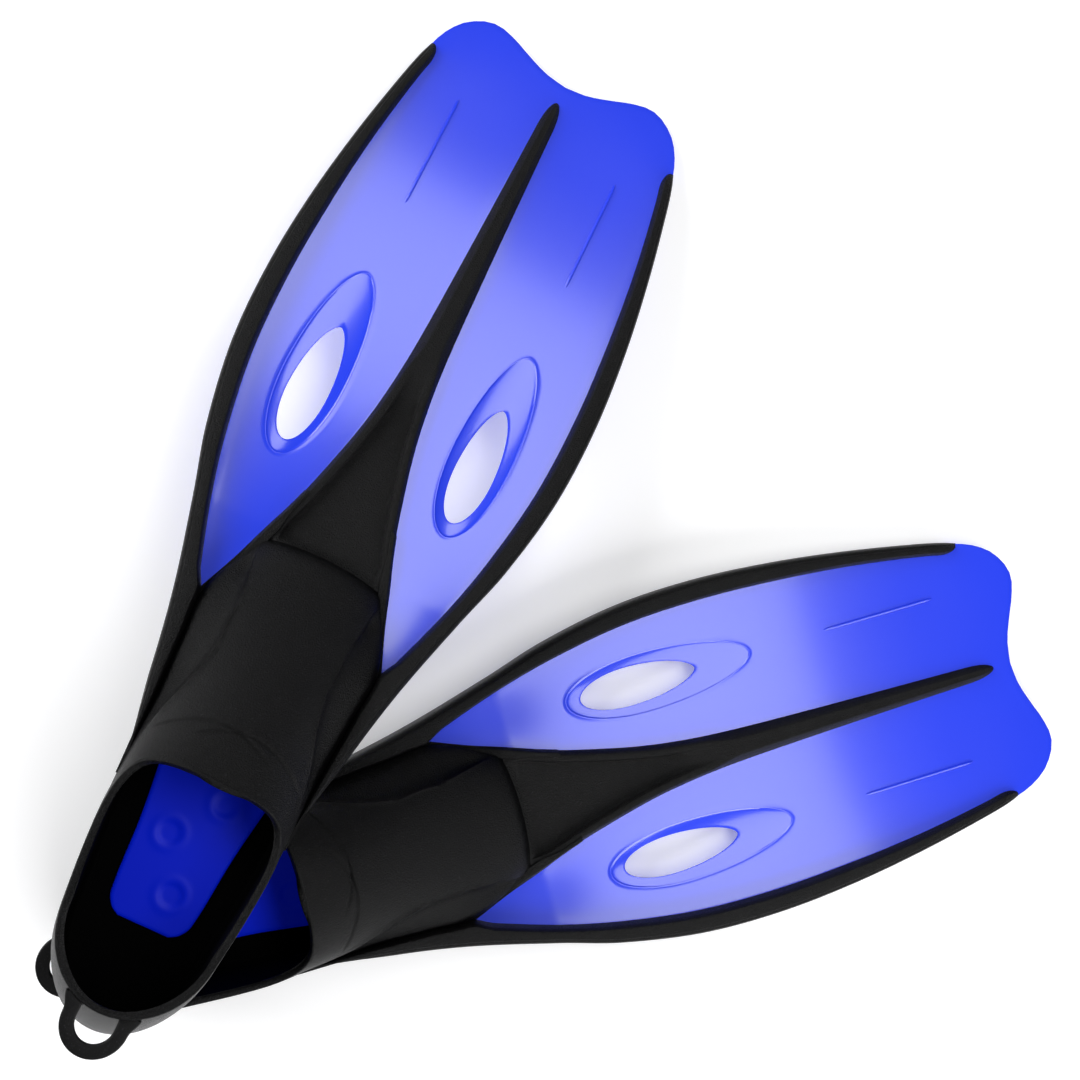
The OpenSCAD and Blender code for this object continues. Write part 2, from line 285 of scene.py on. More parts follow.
VENT_Y = 54.0  # middle of the vents and the fine ribs
COLS = 16  # steps across a panel
SIDE_ROWS = 36  # steps along each side of a vent
TIP_EDGE = 1.1  # rounding of the tip's edge
RIB_BACK, RIB_FRONT = 474, 551  # ends of the fine ribs


def panel_edges(x):
    """Inner and outer edge of a panel, carried on a little under its frame."""
    room = smooth(214, 240, x)
    under = 2.2 + 3.3 * (1 - smooth(262, 300, x))
    inner = curve(PANEL_INNER, x) - under * (1 - smooth(560, 577, x))
    inner = np.where(x > 577, 0, inner * (1 - smooth(560, 577, x)))
    return inner, curve(PANEL_OUTER, x) + 3 * room


def dish(x, y, depth):
    """Sag of a panel between its rails."""
    inner = curve(PANEL_INNER, np.minimum(x, RIB_TIP))
    outer = curve(PANEL_OUTER, np.minimum(x, RAIL_TIP))
    u = np.clip((y - inner) / np.maximum(outer - inner, 1), 0, 1)
    return -depth * np.sin(np.pi * u) ** 0.8 * smooth(220, 270, x) * (1 - 0.6 * smooth(540, 600, x))


def egg(x0, x1, widest, y, w_in, w_out, phi, point):
    """Outline with a round back and a narrower front; phi 0 is the front."""
    c, s = np.cos(phi), np.sin(phi)
    x = np.where(c > 0, widest + (x1 - widest) * c, widest + (widest - x0) * c)
    reach = np.where(c > 0, np.abs(s) ** point, np.abs(s))
    return np.stack([x, y + np.sign(s) * np.where(s > 0, w_out, w_in) * reach], -1)


def vent_rings(look):
    """Rings of blade points from the vent's hole out to the block's edge."""
    x0, x1 = VENT_BACK, VENT_FRONT
    u = np.linspace(0, 1, COLS + 1)
    v = np.linspace(0, 1, SIDE_ROWS + 1)
    in0, out0 = panel_edges(x0)
    in1, out1 = panel_edges(x1)
    half = COLS // 2
    front = np.stack([np.full(COLS + 1, x1), in1 + (out1 - in1) * u], -1)
    rear = np.stack([np.full(COLS + 1, x0), in0 + (out0 - in0) * u], -1)
    xs = x0 + (x1 - x0) * v
    inner, outer = panel_edges(xs)
    border = np.concatenate([
        front[half:], np.stack([xs, outer], -1)[::-1][1:], rear[::-1][1:],
        np.stack([xs, inner], -1)[1:], front[1:half + 1]])[:-1]
    corner = math.radians(38)
    phi = np.concatenate([
        np.linspace(0, corner, half + 1), np.linspace(corner, math.pi - corner, SIDE_ROWS + 1)[1:],
        np.linspace(math.pi - corner, math.pi + corner, COLS + 1)[1:],
        np.linspace(math.pi + corner, 2 * math.pi - corner, SIDE_ROWS + 1)[1:],
        np.linspace(2 * math.pi - corner, 2 * math.pi, half + 1)[1:]])[:-1]

    def hole(grow):
        return egg(314 - grow, 388.5 + grow, 345, 53.6, 11.6 + grow, 12.2 + grow, phi, 1.2)

    def recess(grow):
        return egg(305 - grow, 424 + grow, 355, VENT_Y, 18 + grow, 18 + grow, phi, 1.1)

    deep = look.recess_depth / MM
    rings = [(hole(0), -deep - 0.5), (hole(0.2), -deep - 0.1), (hole(0.6), -deep)]
    for k in (0.9, 0.78, 0.64, 0.5, 0.36, 0.24, 0.14, 0.06):
        rings.append((hole(0.6) * k + recess(0) * (1 - k), -deep * (0.12 + 0.88 * k ** 0.8)))
    rings += [(recess(0), -0.12), (recess(0.3), 0.1), (recess(0.7), 0.16), (recess(1.2), 0.1),
              (recess(1.9), 0.0)]
    for k in (0.08, 0.18, 0.3, 0.42, 0.55, 0.68, 0.8, 0.9, 1):
        rings.append((recess(1.9) * (1 - k) + border * k, 0.0))
    return np.array([blade_points(r[:, 0], r[:, 1], look, drop) for r, drop in rings])


def blade_points(x, y, look, drop=0.0, ease=0.0):
    """Rows of x, y, height of the top and height of the underside."""
    top = HALF_T + drop + dish(x, y, look.panel_dish / MM) - ease
    return np.stack([x, y, top, -HALF_T + ease + 0 * x], -1)


def panel_rows(x0, x1, count, look):
    """Rows of blade points across a panel."""
    rows = []
    for x in np.linspace(x0, x1, count + 1):
        inner, outer = panel_edges(x)
        y = inner + (outer - inner) * np.linspace(0, 1, COLS + 1)
        rows.append(blade_points(np.full(COLS + 1, x), y, look))
    return np.array(rows)


def front_rows(count, look):
    """Rows of blade points from the vent block to the scalloped tip."""
    v = np.concatenate([np.linspace(0, 1 - 0.02, count),
                        1 - np.array([0.0075, 0.005, 0.003, 0.001, 0])])
    u = np.linspace(0, 1, COLS + 1)
    inner_x = VENT_FRONT + (NOTCH_X - VENT_FRONT) * v
    outer_x = VENT_FRONT + (RAIL_TIP - VENT_FRONT) * v
    inner = np.stack([inner_x, panel_edges(inner_x)[0]], -1)
    spread = 4.5 * smooth(540, RAIL_TIP, outer_x)
    outer = np.stack([outer_x, panel_edges(outer_x)[1] + spread], -1)
    near_y = panel_edges(VENT_FRONT)
    near = np.stack([np.full(COLS + 1, VENT_FRONT), near_y[0] + (near_y[1] - near_y[0]) * u], -1)
    tip = path(LOBE[::-1], u)
    tip[-1] = outer[-1]
    a, b = u[None, :, None], v[:, None, None]
    plan = ((1 - b) * near[None] + b * tip[None] + (1 - a) * inner[:, None] + a * outer[:, None]
            - (1 - a) * (1 - b) * near[0] - a * (1 - b) * near[-1]
            - (1 - a) * b * tip[0] - a * b * tip[-1])
    gap = np.clip((1 - v) * 150, 0, TIP_EDGE)
    ease = (TIP_EDGE - np.sqrt(TIP_EDGE ** 2 - (TIP_EDGE - gap) ** 2))[:, None]
    return blade_points(plan[..., 0], plan[..., 1], look, 0.0, ease + 0 * plan[..., 0])


def blade_shape(look):
    """Both skins of a panel and the walls between them, welded into one."""
    flat = Shape()
    for rows, closed in ((panel_rows(PANEL_BACK, VENT_BACK, 26, look), False),
                         (front_rows(44, look), False), (vent_rings(look), True)):
        flat.grid(rows, closed=closed)
    pts = np.concatenate(flat.points)
    _, first, index = np.unique(np.round(pts[:, :2], 2), axis=0, return_index=True,
                                return_inverse=True)
    index = index.reshape(-1)
    pts = pts[first]
    faces = [tuple(dict.fromkeys(int(index[i]) for i in f)) for f in flat.faces]
    faces = [f for f in faces if len(f) > 2]
    used = {}
    for f in faces:
        for i, j in zip(f, f[1:] + f[:1]):
            used.setdefault((min(i, j), max(i, j)), []).append((i, j))
    n = len(pts)
    s = Shape()
    s.add(on_blade(pts[:, 0], pts[:, 1], pts[:, 2]))
    s.add(on_blade(pts[:, 0], pts[:, 1], pts[:, 3]))
    s.faces = faces + [tuple(n + i for i in reversed(f)) for f in faces]
    seam = np.abs(pts[:, 1]) < 0.01  # where the two panels meet in front of the centre rib
    s.faces += [(j, i, n + i, n + j) for (i, j), in (e for e in used.values() if len(e) == 1)
                if not (seam[i] and seam[j])]
    return s


def thin_rib(s, look):
    """Fine raised line on the front of a panel."""
    rows = []
    for x in np.linspace(RIB_BACK, RIB_FRONT, 40):
        k = math.sqrt(max(0.0, min(1.0, (x - RIB_BACK) / 5, (RIB_FRONT - x) / 5)))
        base = HALF_T + float(dish(x, VENT_Y, look.panel_dish / MM)) - 0.4
        ring = [(VENT_Y + 1.05 * math.cos(a) * max(k, 0.05), base + 1.5 * k * math.sin(a) ** 0.8)
                for a in np.linspace(0.001, math.pi - 0.001, 9)]
        rows.append(on_blade(np.full(9, x), [q[0] for q in ring], [q[1] for q in ring]))
    s.grid(np.array(rows))


# ---- Rails, web and centre rib ----

WEB_BACK, WEB_FRONT = 258, 396  # the web lies between the toes and the centre rib
ROUND_FROM = 560  # where the front ends of the rails and the rib begin to round


def rail_shape():
    """One side rail with the strake that carries it back along the pocket."""
    start = STRAKE_BACK - 4
    xs = np.concatenate([np.linspace(start, 216, 40), np.linspace(220, 552, 96),
                         np.linspace(555, RAIL_TIP + 1.5, 16)])
    rows = []
    for x in xs:
        xc = max(min(x, RAIL_TIP), STRAKE_BACK)
        mid = HINGE[2] - max(xc - HINGE[0], 0) * math.sin(SLOPE)
        if x < HINGE[0]:
            top, low = float(curve(STRAKE_TOP, xc)), float(curve(STRAKE_FOOT, xc))
        else:
            top, low = mid + float(curve(RISE, xc)), mid - float(curve(DEPTH, xc))
        panel = float(curve(PANEL_OUTER, max(xc, PANEL_BACK)))
        pocket = float(side_at(min(x, PANEL_BACK))) - 1.5
        w = float(smooth(205, 228, x))
        inner = pocket * (1 - w) + panel * w
        # Towards the collar the strake sinks into the side of the pocket
        out = float(curve(OUTER, xc)) - 2.9 * float(1 - smooth(start, 165, x))
        wide = out - inner
        ledge = min(3.4, 0.36 * wide)
        lip = min(1.6, 0.16 * wide)
        ring = [(inner - 0.2, mid + 0.6), (inner + lip * 0.5, top - 2.6), (inner + lip, top - 0.9),
                (inner + lip + 0.7, top - 0.15), (inner + lip + 1.6, top),
                (out - ledge - 0.5, top + 0.05), (out - ledge, top - 0.1),
                (out - ledge + 0.35, top - 0.75), (out - ledge * 0.45, top - 1.05),
                (out - 0.8, top - 1.8), (out - 0.15, top - 3.6),
                (out, (top + low) / 2), (out - 0.4, low + 2.4), (out - 1.2, low + 0.8),
                (out - 2.6, low), (inner + 0.42 * wide, low), (inner + 1.6, low + 0.9),
                (inner + 0.6, low + 2.8), (inner - 0.2, mid - 0.6)]
        ring = np.array(ring)
        if x > ROUND_FROM:
            k = math.sqrt(max(0.0, 1 - max(0.0, (x - ROUND_FROM) / 14.6) ** 2))
            centre = np.array([out - 1.5 - wide * 0.5 * k, mid])
            ring = centre + (ring - np.array([(inner + out) / 2, mid])) * k
            ring[:, 0] += (out - ring[:, 0].max()) - 1.2 * (1 - k)
        rows.append(np.stack([np.full(len(ring), x), ring[:, 0], ring[:, 1]], -1))
    s = Shape()
    s.grid(np.array(rows), closed=True, ends=True)
    return s


def web_shape():
    """Hollowed web before the toes, the centre rib that it runs into, and its lips."""
    xs = np.concatenate([np.linspace(WEB_BACK, 400, 64), np.linspace(403, ROUND_FROM, 54),
                         ROUND_FROM + 18.6 * np.sin(np.linspace(0.1, math.pi / 2, 14))])
    rows = []
    for x in xs:
        # e is half the room between the panels, k runs from 1 at the bend to 0 at the rib
        e = float(curve(PANEL_INNER, min(x, RIB_TIP))) - 3.5 * float(1 - smooth(256, 274, x))
        k = min(max((WEB_FRONT - x) / (WEB_FRONT - HINGE[0]), 0), 1)
        web = float(1 - smooth(380, 404, x))
        past = max(x - WEB_FRONT, 0)
        rim = 5 + 2 * (1 - k) - 2.5 * past / (RIB_TIP - WEB_FRONT)
        deep = 3.8 * float(1 - smooth(350, 392, x)) * float(smooth(WEB_BACK, 266, x))
        top_w = web * (e - 2.6) + (1 - web) * (max(0.52 * e, 2.9) - past / 260)
        in_w = max(e - 6.4, 0.45 * top_w) * web + 0.45 * top_w * (1 - web)
        pit_w = max(e - 8.2, 0.5 * in_w) * web + 0.5 * in_w * (1 - web)
        half = [(0, rim - deep), (0.5 * pit_w, rim - deep), (pit_w - 0.02, rim - deep),
                (pit_w + 0.25 * (in_w - pit_w), rim - deep * 0.86),
                (in_w - 0.25 * (in_w - pit_w), rim - deep * 0.12), (in_w + 0.3, rim),
                ((in_w + top_w) / 2, rim + 0.08), (top_w - 0.5, rim), (top_w + 0.1, rim - 0.35),
                (0.55 * top_w + 0.45 * e, rim * 0.62 + HALF_T * 0.3), (e - 0.25, HALF_T + 0.1),
                (e + 0.1, HALF_T - 0.8), (e - 0.4, -HALF_T - 0.3), (e - 2.4, -4.1), (e - 3.2, -4.5),
                (0, -4.5)]
        half = np.array(half, dtype=float)
        grow = 0.3 + 0.7 * float(smooth(254, 286, x))
        shoulder = np.clip((half[:, 0] - 0.55 * e) / (0.45 * e), 0, 1)
        above = half[:, 1] > HALF_T
        half[:, 1] = np.where(above, HALF_T + (half[:, 1] - HALF_T) * (1 - (1 - grow) * shoulder),
                              half[:, 1])
        end = math.sqrt(max(0.0, 1 - max(0.0, (x - ROUND_FROM) / 18.8) ** 2))
        half *= np.array([end ** 0.8, end ** 0.6])
        both = np.concatenate([half, half[-2:0:-1] * np.array([-1, 1])])
        rows.append(on_blade(np.full(len(both), x), both[:, 0], both[:, 1]))
    s = Shape()
    s.grid(np.array(rows), closed=True, ends=True)
    # Lips that carry the web's rims back along the pocket
    for side in (1, -1):
        rows = []
        for x in np.linspace(213, 292, 60):
            e = float(curve(PANEL_INNER, max(x, PANEL_BACK)))
            up = 3.0 + 3.2 * float(smooth(240, 286, x))
            back = 4.2 + 3 * float(1 - smooth(262, 280, x))
            ring = [(e + 0.3, -2.2), (e + 0.35, HALF_T - 0.4), (e - 0.1, HALF_T + 0.5),
                    (e - 0.9, up - 0.9), (e - 1.6, up - 0.2), (e - 2.6, up),
                    (e - back + 0.6, up - 0.3), (e - back, up - 1.2), (e - back, -2.2)]
            ring = np.array(ring)
            rows.append(on_blade(np.full(len(ring), x), ring[:, 0] * side, ring[:, 1]))
        s.grid(np.array(rows), closed=True, ends=True)
    return s


# ---- Foot pocket ----

LOW = 10  # steps of a wall from the sole to its widest height
MID = 18  # and on to the side crease
HIGH = 30  # and on to the edge of the opening or the middle of the instep
TUCK = 4  # how much narrower the wall is at the sole than at its widest height


def stations():
    """Places along the fin of the pocket's sections."""
    heel = HEEL_X - HEEL_R * np.cos(np.linspace(0, math.pi / 2, 26))
    sides = np.linspace(HEEL_X + 3, 112, 26)
    front = OPENING_X - 13 * (1 - np.sin(np.linspace(0.14, math.pi / 2, 14)))
    instep = np.concatenate([np.linspace(OPENING_X + 0.7, 158, 46), np.linspace(159, 170, 8)])
    toe = np.concatenate([np.linspace(172, 248, 39), np.linspace(249, TOE_END, 13)])
    return np.concatenate([heel, sides, front, instep, toe])


def arch_edge(x, d):
    """Angle at which the wall of station x ends at the opening's edge."""
    if x >= OPENING_X:
        return math.pi / 2
    h, q = float(curve(TOPS, x)) - d, float(curve(SQUARENESS, x))
    up = (float(curve(RIM, x)) - BELLY_Z) / (h - BELLY_Z)
    up = min(max(up, 0), 1)
    return math.atan2(up, max(1 - up ** q, 0) ** (1 / q))


def lean(x, z):
    """How far the heel's top leans forward."""
    return 18 * (np.maximum(0, z - 22) / 50) ** 1.4 * np.maximum(0, 1 - (x - HEEL_BACK) / 75)


def emboss(x, y):
    """Two fine arcs that cross on the instep behind the opening."""
    total = 0.0
    for side in (1, -1):
        line = 155 - 0.0135 * (side * y - 7) ** 2
        fade = smooth(-24, -14, side * y) * (1 - smooth(40, 46, side * y))
        total = total + fade * (0.3 * smooth(-0.5, 0.7, x - line) * (1 - smooth(1, 16, x - line))
                                - 0.55 * np.exp(-((x - line + 0.3) / 0.8) ** 2))
    return total * smooth(1, 4, x - OPENING_X)


def half_ring(x, d=0.0, outer=True):
    """Left half of the pocket's section at station x, from the sole up."""
    w = max(float(side_at(x)) - d, 0.0)
    h, q = float(curve(TOPS, x)) - d, float(curve(SQUARENESS, x))
    a = np.linspace(0, math.pi / 2, LOW + 1)
    low = np.stack([np.maximum(w - TUCK + TUCK * np.sin(a), 0),
                    BELLY_Z - (BELLY_Z - SOLE_TOP) * np.cos(a)], -1)
    if not outer:
        low[:, 1] = np.maximum(low[:, 1], SOLE_TOP + 0.3)
    end = arch_edge(x, d)
    crease_y = min(float(curve(CREASE, max(x, OPENING_X))) / max(w, 1), 0.97)
    crease = math.atan2(max(1 - crease_y ** q, 0) ** (1 / q), crease_y)
    split = min(crease, 0.6 * end)
    th = np.concatenate([np.linspace(0, split, MID + 1), np.linspace(split, end, HIGH + 1)[1:]])[1:]
    r = 1 / (np.abs(np.cos(th)) ** q + np.abs(np.sin(th)) ** q) ** (1 / q)
    y, z = w * r * np.cos(th), BELLY_Z + (h - BELLY_Z) * r * np.sin(th)
    if outer:
        # The flanks fall hollow from the crease to the side
        y_s = w * crease_y
        s = np.clip((y - y_s) / max(w * 0.985 - y_s, 1), 0, 1)
        hollow = 5.0 * float(smooth(OPENING_X - 6, 172, x)) * (1 - float(smooth(236, 258, x)))
        dip = hollow * np.sin(np.pi * s ** 0.8) * (th < split + 1e-6)
        ny, nz = np.cos(th), np.sin(th) + 0.6
        n = np.hypot(ny, nz)
        ridge = 0.75 * np.exp(-((np.arange(len(th)) - (MID - 1)) / 1.3) ** 2)
        dip = dip - ridge * float(smooth(130, 150, x)) * float(1 - smooth(205, 240, x))
        y, z = y - dip * ny / n, z - dip * nz / n
    ring = np.concatenate([low, np.stack([y, z], -1)])
    ring3 = np.stack([np.full(len(ring), x), ring[:, 0], ring[:, 1]], -1)
    ring3[:, 0] += lean(x, ring[:, 1])
    ring3[:, 0] -= 4 * (ring[:, 0] / 38) ** 2 * float(smooth(225, 258, x))
    if outer and x > OPENING_X:
        ring3[:, 2] += emboss(ring3[:, 0], ring3[:, 1])
    return ring3


def both_halves(left):
    """Full row of a section from the left half's."""
    right = left[::-1][1:] * MIRROR
    return np.concatenate([left, right])


def pocket_shape():
    """The rubber shoe's outside with its edges, and its lining."""
    s = Shape()
    xs = stations()
    outer = np.array([half_ring(x) for x in xs])
    squash = (TOE_END - HEEL_BACK - 2 * WALL) / (TOE_END - HEEL_BACK)
    inner = []
    for x in xs:
        ring = half_ring(x, WALL + 4 * float(smooth(OPENING_X, 170, x)), outer=False)
        ring[:, 0] = HEEL_BACK + WALL + (ring[:, 0] - HEEL_BACK) * squash
        inner.append(ring)
    inner = np.array(inner)
    shaded_lining = Shape()
    for part, skin in ((s, outer), (shaded_lining, inner)):
        part.grid(skin)
        part.grid(skin * MIRROR)
    # The edge of the opening, hidden under the collar, and the foot of the wall
    n = int(np.sum(xs <= OPENING_X))
    for rows in ((outer[:n, -1], inner[:n, -1]), (outer[:, 0], inner[:, 0])):
        strip = np.stack(rows, 0)
        s.grid(strip)
        s.grid(strip * MIRROR)
    # Close the toe, inside and out, down to the sole
    for part, skin, step in ((s, outer, 0.6), (shaded_lining, inner, 0.0)):
        nose = both_halves(skin[-1])
        flat = nose * np.array([1, 0.02, 0.02]) + np.array([step, 0, SOLE_TOP])
        part.grid(np.array([nose, flat]))
    floor = np.stack([inner[:, 0], inner[:, 0] * MIRROR], 0)
    shaded_lining.grid(floor + np.array([0, 0, 0.05]))
    return s, shaded_lining


def rim_frames():
    """Points of the opening's edge with the wall's normal and down direction."""
    xs = stations()
    xs = xs[xs <= OPENING_X]
    rings = np.array([half_ring(x) for x in xs])
    edge, below = rings[:, -1], rings[:, -3]
    full = np.concatenate([edge[::-1], (edge * MIRROR)[1:-1]])
    down = np.concatenate([below[::-1], (below * MIRROR)[1:-1]])
    # Even spacing round the loop
    loop = np.concatenate([full, full[:1]])
    dist = np.concatenate([[0], np.cumsum(np.linalg.norm(np.diff(loop, axis=0), axis=1))])
    even = np.linspace(0, dist[-1], 181)[:-1]
    p, d = (np.stack([np.interp(even, dist, np.concatenate([arr, arr[:1]])[:, k])
                      for k in range(3)], -1) for arr in (full, down))
    for _ in range(20):
        p = (np.roll(p, 1, 0) + 2 * p + np.roll(p, -1, 0)) / 4
        d = (np.roll(d, 1, 0) + 2 * d + np.roll(d, -1, 0)) / 4
    along = np.roll(p, -1, 0) - np.roll(p, 1, 0)
    along /= np.linalg.norm(along, axis=1)[:, None]
    drop = d - p
    drop -= along * np.sum(drop * along, axis=1)[:, None]
    drop /= np.linalg.norm(drop, axis=1)[:, None]
    normal = np.cross(along, drop)
    middle = np.array([60, 0, 60.0])  # a point inside the opening
    normal *= np.sign(np.sum(normal * (p - middle), axis=1))[:, None]
    for _ in range(4):
        normal = np.roll(normal, 1, 0) + 2 * normal + np.roll(normal, -1, 0)
        normal /= np.linalg.norm(normal, axis=1)[:, None]
        drop = np.roll(drop, 1, 0) + 2 * drop + np.roll(drop, -1, 0)
        drop /= np.linalg.norm(drop, axis=1)[:, None]
    return p, normal, drop


def collar_shape():
    """Band swept round the opening; each pair is how far out and how far down."""
    p, normal, drop = rim_frames()
    section = [(-3.4, 5.5), (-3.5, 0.6), (-3.3, -0.2), (-2.8, -0.6), (-1.8, -0.7), (-0.6, -0.7),
               (0.1, -0.6), (0.45, -0.25), (0.55, 0.4), (0.55, 4.2), (0.4, 4.7), (0.0, 5.0),
               (-1.2, 5.4)]
    rows = [p + normal * a + drop * b for a, b in section]
    s = Shape()
    rows = np.array(rows + rows[:1])
    s.grid(np.transpose(np.concatenate([rows, rows[:, :1]], 1), (1, 0, 2)))
    return s


# ---- Footbed, sole and pull loop ----

def footbed_shape(look):
    """Insole with rounded edges and its round dimples."""
    s = Shape()
    back, round_r = 38, 2.4
    xs = np.concatenate([back + 4 * (1 - np.cos(np.linspace(0, math.pi / 2, 8))),
                         np.linspace(back + 5, 200, 130)])
    v = np.sin(np.linspace(-math.pi / 2, math.pi / 2, 61))
    rows = []
    for x in xs:
        w = float(curve(FOOTBED, x))
        y = v * w
        edge = np.minimum(w - np.abs(y), (x - back) * 1.2)
        round_off = 1 - np.sqrt(np.clip(1 - (1 - np.clip(edge / round_r, 0, 1)) ** 2, 0, 1))
        z = SOLE_TOP + 3 - 1.1 * round_off
        for cx, cy in DIMPLES:
            r = np.hypot(x - cx, y - cy)
            lip = 0.4 * np.exp(-((r - 8.8) / 2.2) ** 2)
            z = z + lip - look.dimple_depth / MM * (1 - smooth(4.4, 7.6, r))
        rows.append(np.stack([np.full(len(y), x), y, z], -1))
    rows = np.array(rows)
    foot = rows.copy()
    foot[..., 2] = SOLE_TOP
    rim, hem = (np.concatenate([a[0], a[1:, -1], a[-1][::-1][1:], a[1:-1, 0][::-1]])
                for a in (rows, foot))
    s.grid(rows)
    s.grid(np.array([rim, hem]), closed=True)
    return s


def sole_outline(inset):
    """Plan of the outsole, drawn in by inset."""
    length = TOE_END - HEEL_BACK - 1
    along = (1 - np.cos(np.linspace(0, math.pi, 70))) / 2
    half = [(x, max(float(side_at(x)) - TUCK - inset, 0.3))
            for x in HEEL_BACK + 1 + inset + (length - 2 * inset) * along]
    return np.array(half + [(x, -y) for x, y in half[::-1]])


def outsole_shape():
    """Plate under the foot with a rounded lower edge."""
    s = Shape()
    rings = []
    for inset, z in ((0.9, 1.5), (0.2, 1.7), (0, 2.2), (0, SOLE_TOP)):
        o = sole_outline(inset)
        rings.append(np.stack([o[:, 0], o[:, 1], np.full(len(o), z)], -1))
    s.grid(np.array(rings), closed=True, ends=True)
    return s


def loop_shape():
    """Flat D-shaped loop behind the heel, level with the opening's edge."""
    r, half_w, half_h, corner = 13.75, 3.75, 1.75, 1.0
    root, bend = 4.5, LOOP_LINE[0]
    spine = [(x, r, 0.0, 1.0) for x in np.linspace(root, bend + 1, 8)]
    for a in np.linspace(0, math.pi, 41):
        spine.append((bend - r * math.sin(a), r * math.cos(a), -math.sin(a), math.cos(a)))
    spine += [(x, -r, 0.0, -1.0) for x in np.linspace(bend + 1, root, 8)]
    section = []
    for cy, cz, a0 in ((half_w, half_h, 0), (-half_w, half_h, 90), (-half_w, -half_h, 180),
                       (half_w, -half_h, 270)):
        for a in (0, 30, 60, 90):
            t = math.radians(a0 + a)
            section.append((cy - math.copysign(corner, cy) + corner * math.cos(t),
                            cz - math.copysign(corner, cz) + corner * math.sin(t)))
    rows = []
    for x, y, nx, ny in spine:
        flare = 3.0 * float(smooth(bend - 1, root, x)) ** 1.5  # the roots widen into the heel
        rows.append([(x + nx * a, y + ny * (a + (flare if a > 0 else 0)), LOOP_LINE[2] + b)
                     for a, b in section])
    s = Shape()
    s.grid(np.array(rows), closed=True, ends=True)
    return s


# ---- Finishes ----

class Value:
    """A number in the shader; sums and products of it add Math nodes."""

    def __init__(self, shader, socket):
        self.shader, self.socket = shader, socket

    def _maths(self, kind, a, b):
        sums = self.shader.node("ShaderNodeMath", {"operation": kind}, [a, b])
        return Value(self.shader, sums.outputs[0])

    def __add__(self, other):
        return self._maths("ADD", self, other)

    def __sub__(self, other):
        return self._maths("SUBTRACT", self, other)

    def __rsub__(self, other):
        return self._maths("SUBTRACT", other, self)

    def __mul__(self, other):
        return self._maths("MULTIPLY", self, other)

    __radd__ = __add__
    __rmul__ = __mul__


class Finish:
    """A material and the one way its nodes are added."""

    def __init__(self, name):
        self.material = bpy.data.materials.new(name)
        self.material.use_nodes = True
        self.tree = self.material.node_tree
        self.shader = next(n for n in self.tree.nodes if n.type == "BSDF_PRINCIPLED")

    def node(self, kind, settings=None, inputs=()):
        """Adds a node by type, settings, and values or links by socket."""
        n = self.tree.nodes.new(kind)
        for key, value in (settings or {}).items():
            if key == "stops":
                while len(n.color_ramp.elements) > 1:
                    n.color_ramp.elements.remove(n.color_ramp.elements[-1])
                for i, (at, colour) in enumerate(value):
                    e = n.color_ramp.elements[0] if i == 0 else n.color_ramp.elements.new(at)
                    e.position, e.color = at, colour
            else:
                setattr(n, key, value)
        pairs = inputs.items() if isinstance(inputs, dict) else enumerate(inputs)
        for key, value in pairs:
            self.put(n.inputs[key], value)
        return n

    def put(self, socket, value):
        if isinstance(value, Value):
            value = value.socket
        if isinstance(value, bpy.types.NodeSocket):
            self.tree.links.new(value, socket)
        else:
            socket.default_value = value

    def set(self, **values):
        """Sets or links the shader's sockets by name, with _ for a space."""
        for key, value in values.items():
            self.put(self.shader.inputs[key.replace("_", " ")], value)

    def noise(self, scale, detail=2.0, rough=0.5):
        where = self.node("ShaderNodeTexCoord").outputs["Object"]
        n = self.node("ShaderNodeTexNoise", {}, {"Vector": where, "Scale": scale, "Detail": detail,
                                                 "Roughness": rough})
        return Value(self, n.outputs["Fac"])

    def mix(self, factor, a, b):
        return self.node("ShaderNodeMix", {"data_type": "RGBA"},
                         {0: factor, 6: a, 7: b}).outputs[2]

    def bump(self, height, depth):
        return self.node("ShaderNodeBump", {}, {"Height": height, "Distance": depth,
                                                "Strength": 1.0}).outputs[0]


def rgba(colour):
    return (*colour[:3], 1.0)


def rubber(name, colour, rough, grain, shine):
    """Moulded black rubber with a fine grain, pale specks and a faint sheen."""
    f = Finish(name)
    fine = f.noise(1100, 3, 0.65)
    patch = f.noise(16, 3)
    speck = f.node("ShaderNodeValToRGB", {"stops": ((0.6, (0, 0, 0, 1)), (0.8, (1, 1, 1, 1)))},
                   [fine]).outputs["Color"]
    lighter = tuple(min(1, c * 1.7) for c in colour[:3])
    pale = tuple(min(1, c * 22) for c in colour[:3])
    f.set(Base_Color=f.mix(speck, f.mix(patch, rgba(colour), rgba(lighter)), rgba(pale)),
          Roughness=rough + 0.25 * (fine - 0.5) + 0.12 * (patch - 0.5), Normal=f.bump(fine, grain))
    f.shader.inputs["Specular IOR Level"].default_value = shine
    return f.material


def plastic(name, colour, rough, coat, shine=0.5, glow=0.0):
    """Moulded plastic, clear-coated or dull; glow is painted light, given off by the plastic in its
    own colour.
    """
    f = Finish(name)
    cloud = f.noise(9, 2)
    darker = tuple(c * 0.9 for c in colour[:3])
    f.set(Base_Color=f.mix(cloud, rgba(darker), rgba(colour)), Roughness=rough, Coat_Weight=coat)
    f.shader.inputs["Coat Roughness"].default_value = 0.12
    f.shader.inputs["Specular IOR Level"].default_value = shine
    f.shader.inputs["Emission Color"].default_value = rgba(colour)
    # Painted light: the plastic glows in its own colour at the glow strength
    f.shader.inputs["Emission Strength"].default_value = glow
    return f.material


# Each rubber: share of the rubber's colour, roughness, grain and shine
# The lining is the pocket's own rubber at 0.15 of its colour: painted shade for the inside of the
# pocket
RUBBERS = {"pocket": (1, 0.36, 0.0007, 0.13), "shaded_lining": (0.15, 0.8, 0.0002, 0.05),
           "rail": (1, 0.38, 0.0009, 0.17), "sole": (1, 0.65, 0.0003, 0.3),
           "loop": (1, 0.55, 0.0002, 0.2)}
made = {}


